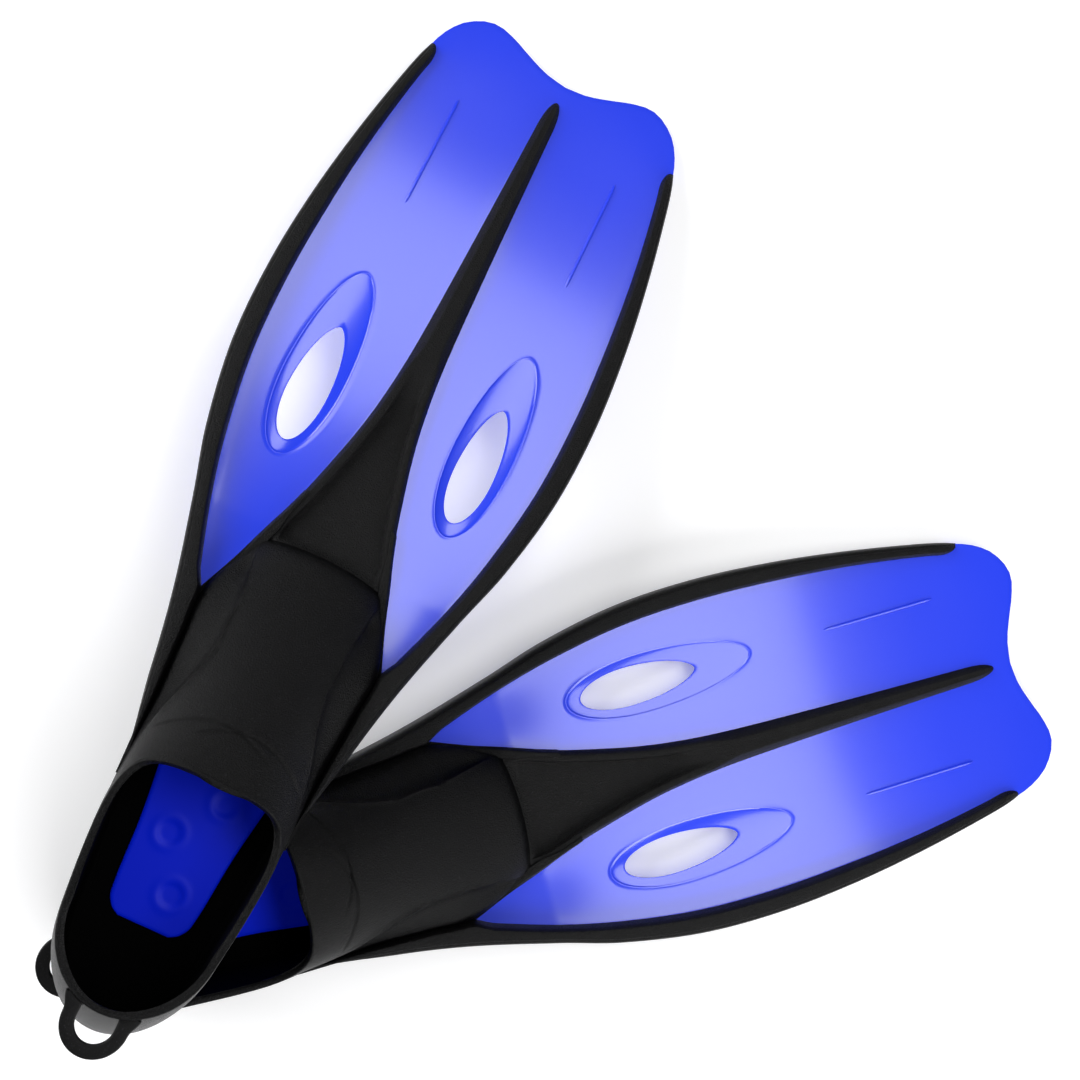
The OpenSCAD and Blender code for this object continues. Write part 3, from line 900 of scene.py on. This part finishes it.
def finish(kind, look):
    """The finish of that kind, made when it is first asked for."""
    if kind not in made:
        if kind == "blade":
            made[kind] = plastic("blade_blue", look.blade_colour, 0.25, 1.0)
        elif kind == "footbed":
            # The footbed glows a little: painted light that brightens it in the pocket's shade
            made[kind] = plastic("footbed_blue", look.footbed_colour, 0.42, 0.0, 0.16, 0.08)
        else:
            share, *rest = RUBBERS[kind]
            made[kind] = rubber(kind + "_rubber", [c * share for c in look.rubber_colour], *rest)
    return made[kind]


# ---- Settings ----

class FIN_PG_look(bpy.types.PropertyGroup):
    """Sizes and colours of the fins"""

    blade_colour: bpy.props.FloatVectorProperty(
        name="Blade colour", description="Colour of the glossy panels", subtype="COLOR",
        size=3, min=0, max=1, default=(0.012, 0.048, 0.9))
    footbed_colour: bpy.props.FloatVectorProperty(
        name="Footbed colour", description="Colour of the insole", subtype="COLOR",
        size=3, min=0, max=1, default=(0.0, 0.018, 0.95))
    rubber_colour: bpy.props.FloatVectorProperty(
        name="Rubber colour", description="Colour of the pocket, rails and ribs", subtype="COLOR",
        size=3, min=0, max=1, default=(0.0015, 0.0015, 0.0017))
    panel_dish: bpy.props.FloatProperty(
        name="Panel dish", description="How far a panel sags between its rails",
        subtype="DISTANCE", unit="LENGTH", default=0.0008, min=0, max=0.0012)
    recess_depth: bpy.props.FloatProperty(
        name="Vent recess", description="Depth of the hollow round each vent",
        subtype="DISTANCE", unit="LENGTH", default=0.0012, min=0.0004, max=0.0014)
    dimple_depth: bpy.props.FloatProperty(
        name="Dimple depth", description="Depth of the footbed's round dimples",
        subtype="DISTANCE", unit="LENGTH", default=0.0006, min=0, max=0.0015)


class FIN_PG_stage(bpy.types.PropertyGroup):
    """The floor, the lights and the camera"""

    floor_colour: bpy.props.FloatVectorProperty(
        name="Floor colour", description="Colour of the plain floor", subtype="COLOR",
        size=3, min=0, max=1, default=(0.93, 0.93, 0.94))
    floor_size: bpy.props.FloatProperty(
        name="Floor size", description="Side of the square floor", subtype="DISTANCE",
        unit="LENGTH", default=12 * max(CAD_BOX[1][k] - CAD_BOX[0][k] for k in range(3)), min=2)
    floor_glow: bpy.props.FloatProperty(
        name="Floor glow", description="Light that the floor gives off, which lifts its shadows",
        default=0.25, min=0, max=1)
    main_light: bpy.props.FloatProperty(
        name="Main light", description="Power of the large overhead light in watts",
        default=8.8, min=0)
    sky: bpy.props.FloatProperty(
        name="Room light", description="Brightness of the plain white room", default=0.12, min=0)


# ---- Operators ----

class FIN_OT_blades(bpy.types.Operator):
    """Blue panels of both blades, with their vents and fine ribs"""

    bl_idname = "fin.blades"
    bl_label = "Blades"

    def execute(self, context):
        look = context.scene.fin_look
        for fin in FINS:
            s = blade_shape(look)
            thin_rib(s, look)
            s.mirrored()
            obj = make_piece(fin + "_panels", fin, s, finish("blade", look), sharp=30)
            bend_with_blade(obj)
            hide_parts(fin + "_blade", fin + "_root_panels")
        return {"FINISHED"}


class FIN_OT_rails(bpy.types.Operator):
    """Side rails that run from the foot pocket to the tip"""

    bl_idname = "fin.rails"
    bl_label = "Rails"

    def execute(self, context):
        look = context.scene.fin_look
        for fin in FINS:
            for side in ("left", "right"):
                s = rail_shape()
                if side == "right":
                    s.points = [p * MIRROR for p in s.points]
                obj = make_piece(f"{fin}_side_rail_{side}", fin, s, finish("rail", look),
                                 sharp=32)
                bend_with_blade(obj)
                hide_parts(f"{fin}_rail_{side}", f"{fin}_strake_{side}")
        return {"FINISHED"}


class FIN_OT_webs(bpy.types.Operator):
    """Black web between the panels and the centre rib in front of it"""

    bl_idname = "fin.webs"
    bl_label = "Webs and centre ribs"

    def execute(self, context):
        look = context.scene.fin_look
        for fin in FINS:
            obj = make_piece(fin + "_web_and_rib", fin, web_shape(), finish("rail", look),
                             sharp=32)
            bend_with_blade(obj)
            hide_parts(fin + "_toe_web", fin + "_centre_rib")
        return {"FINISHED"}


class FIN_OT_pockets(bpy.types.Operator):
    """Foot pockets and the collars round their openings"""

    bl_idname = "fin.pockets"
    bl_label = "Foot pockets"

    def execute(self, context):
        look = context.scene.fin_look
        for fin in FINS:
            shell, shaded_lining = pocket_shape()
            for name, shape, kind, sharp, node in (
                    ("_pocket_shell", shell, "pocket", 50, "_pocket_upper"),
                    # The lining's darker rubber is painted shade inside the pocket
                    ("_pocket_lining", shaded_lining, "shaded_lining", 50, None),
                    ("_collar_band", collar_shape(), "pocket", 60, "_collar")):
                obj = make_piece(fin + name, fin, shape, finish(kind, look), sharp)
                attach(obj, fin + "_foot_pocket")
                if node:
                    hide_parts(fin + node)
        return {"FINISHED"}


class FIN_OT_soles(bpy.types.Operator):
    """Footbeds, outsoles and treads"""

    bl_idname = "fin.soles"
    bl_label = "Footbeds and soles"

    def execute(self, context):
        look = context.scene.fin_look
        for fin in FINS:
            for name, shape, kind, slot, sharp in (
                    ("_insole", footbed_shape(look), "footbed", "footbed_blue", 50),
                    ("_sole", outsole_shape(), "sole", "sole_rubber", 38)):
                obj = make_piece(fin + name, fin, shape, finish(kind, look), sharp)
                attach(obj, fin + "_foot_pocket")
                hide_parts(fin + ("_footbed" if kind == "footbed" else "_outsole"))
            tread = frame["nodes"][fin + "_tread"]
            tread.data.materials.clear()
            tread.data.materials.append(finish("sole", look))
        return {"FINISHED"}


class FIN_OT_loops(bpy.types.Operator):
    """Pull loops behind the heels"""

    bl_idname = "fin.loops"
    bl_label = "Pull loops"

    def execute(self, context):
        look = context.scene.fin_look
        for fin in FINS:
            obj = make_piece(fin + "_heel_loop", fin, loop_shape(), finish("loop", look),
                             38)
            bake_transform(obj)
            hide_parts(fin + "_pull_loop", fin + "_loop_anchors")
        return {"FINISHED"}


def area_light(name, place, turn, size, power):
    """A soft rectangular lamp; turn is in degrees, and no turn shines straight down."""
    data = bpy.data.lights.new(name, "AREA")
    data.shape = "RECTANGLE"
    data.size, data.size_y = size
    data.energy = power
    obj = bpy.data.objects.new(name, data)
    obj.location = place
    obj.rotation_euler = [math.radians(a) for a in turn]
    bpy.context.scene.collection.objects.link(obj)


PALE = 0.93  # brightness of the far floor and the room


class FIN_OT_stage(bpy.types.Operator):
    """Pale floor, soft studio light and the camera"""

    bl_idname = "fin.stage"
    bl_label = "Stage"

    def execute(self, context):
        stage = context.scene.fin_stage
        low, high = CAD_BOX
        centre = [(low[k] + high[k]) / 2 for k in range(3)]
        half = stage.floor_size / 2
        mesh = bpy.data.meshes.new("floor")
        mesh.from_pydata([(centre[0] + a * half, centre[1] + b * half, low[2] - 0.0002)
                          for a, b in ((-1, -1), (1, -1), (1, 1), (-1, 1))], [], [(0, 1, 2, 3)])
        floor = bpy.data.objects.new("floor", mesh)
        context.scene.collection.objects.link(floor)
        f = Finish("floor_white")
        where = f.node("ShaderNodeTexCoord").outputs["Object"]
        away = f.node("ShaderNodeVectorMath", {"operation": "DISTANCE"}, [where, (*centre[:2], 0)])
        ring = f.node("ShaderNodeMapRange", {"interpolation_type": "SMOOTHSTEP"},
                      [away.outputs["Value"], 0.8, 2.6, 0, 1]).outputs[0]
        f.set(Base_Color=rgba(stage.floor_colour), Roughness=0.9,
              Emission_Color=f.mix(ring, rgba([stage.floor_glow] * 3), rgba([PALE] * 3)))
        f.shader.inputs["Emission Strength"].default_value = 1
        mesh.materials.append(f.material)
        # A pale room that only the camera sees
        bm = bmesh.new()
        bmesh.ops.create_uvsphere(bm, u_segments=48, v_segments=24, radius=half * 0.95)
        bmesh.ops.translate(bm, verts=bm.verts, vec=(centre[0], centre[1], 0))
        room = bpy.data.objects.new("backdrop", bpy.data.meshes.new("backdrop"))
        set_mesh(room, bm)
        context.scene.collection.objects.link(room)
        f = Finish("backdrop_white")
        f.set(Base_Color=(0, 0, 0, 1), Roughness=1.0, Emission_Color=rgba([PALE] * 3))
        f.shader.inputs["Emission Strength"].default_value = 1
        f.shader.inputs["Specular IOR Level"].default_value = 0
        room.data.materials.append(f.material)
        room.visible_diffuse = room.visible_glossy = room.visible_transmission = False
        room.visible_shadow = False

        area_light("overhead", (0.66, 0.2, 1.25), (0, 0, 0), (0.42, 1.6), stage.main_light)
        area_light("far_side", (-0.75, 1.15, 0.62), (62, 0, -135), (1.5, 0.8),
                   stage.main_light * 2.9)
        area_light("near_side", (0.5, -1.15, 0.6), (64, 0, 8), (1.6, 0.7), stage.main_light * 2.1)

        world = bpy.data.worlds.new("white_room")
        context.scene.world = world
        world.use_nodes = True
        back = world.node_tree.nodes["Background"]
        back.inputs["Color"].default_value = (1, 1, 1, 1)
        back.inputs["Strength"].default_value = stage.sky

        eye, aim = Vector((0.1474, 0.1912, 0.9223)), Vector((0.2768, 0.1549, 0.0))
        back_way = (eye - aim).normalized()
        right = Vector((0.2583, 0.9661, -0.0018)).cross(back_way).normalized()
        up = back_way.cross(right)
        camera = bpy.data.objects.new("camera", bpy.data.cameras.new("camera"))
        camera.data.lens = 50.2
        camera.data.sensor_width = 36
        camera.matrix_world = Matrix((
            (right.x, up.x, back_way.x, eye.x), (right.y, up.y, back_way.y, eye.y),
            (right.z, up.z, back_way.z, eye.z), (0, 0, 0, 1)))
        context.scene.collection.objects.link(camera)
        context.scene.camera = camera
        context.scene.view_settings.view_transform = "Standard"
        return {"FINISHED"}


class FIN_PT_panel(bpy.types.Panel):
    """Lists the settings and the steps"""

    bl_label = "Swim fins"
    bl_idname = "FIN_PT_panel"
    bl_space_type = "VIEW_3D"
    bl_region_type = "UI"
    bl_category = "Swim fins"

    def draw(self, context):
        for group in (context.scene.fin_look, context.scene.fin_stage):
            for name in group.bl_rna.properties.keys():
                if name not in ("rna_type", "name"):
                    self.layout.prop(group, name)
        for op in OPERATORS:
            self.layout.operator(op.bl_idname)


OPERATORS = (FIN_OT_blades, FIN_OT_rails, FIN_OT_webs, FIN_OT_pockets, FIN_OT_soles, FIN_OT_loops,
             FIN_OT_stage)
CLASSES = (FIN_PG_look, FIN_PG_stage) + OPERATORS + (FIN_PT_panel,)


def register():
    for cls in CLASSES:
        bpy.utils.register_class(cls)
    bpy.types.Scene.fin_look = bpy.props.PointerProperty(type=FIN_PG_look)
    bpy.types.Scene.fin_stage = bpy.props.PointerProperty(type=FIN_PG_stage)


def unregister():
    del bpy.types.Scene.fin_stage
    del bpy.types.Scene.fin_look
    for cls in reversed(CLASSES):
        bpy.utils.unregister_class(cls)


def main():
    register()
    for op in OPERATORS:
        group, name = op.bl_idname.split(".")
        getattr(getattr(bpy.ops, group), name)()


if __name__ == "__main__":
    main()
